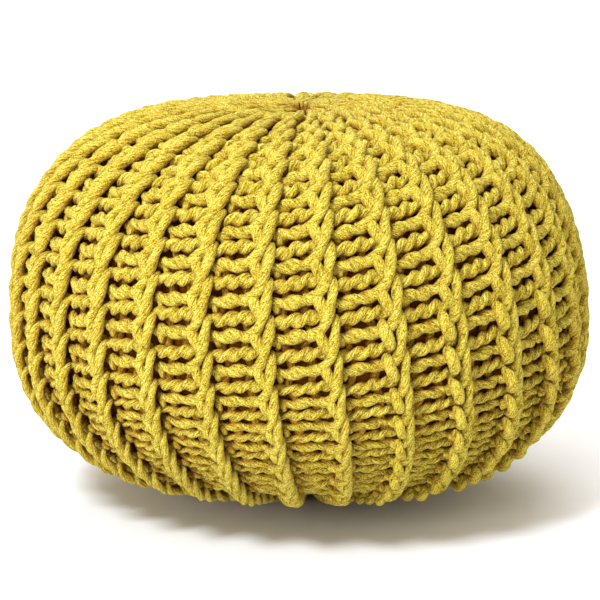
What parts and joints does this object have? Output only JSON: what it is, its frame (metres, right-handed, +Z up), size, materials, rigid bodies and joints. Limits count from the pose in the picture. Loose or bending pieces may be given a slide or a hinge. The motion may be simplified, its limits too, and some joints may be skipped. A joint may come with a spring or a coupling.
{
  "type": "knitted pouf",
  "caption": "Round knitted cotton pouf with ribs drawn together at the top, used as a footrest, low seat or side table.",
  "frame": {"origin": "on the floor, under the middle of the pouf", "axes": "+Z up through the gathered hole in the top, +X to the right of the pictured side, which faces -Y"},
  "size_m": [0.4989, 0.4988, 0.3431],
  "materials": {
    "knitted_cotton": "thick matt cotton cord, knitted"
  },
  "bodies": {
    "root": {"pouf": "knitted_cotton"}
  },
  "joints": []
}
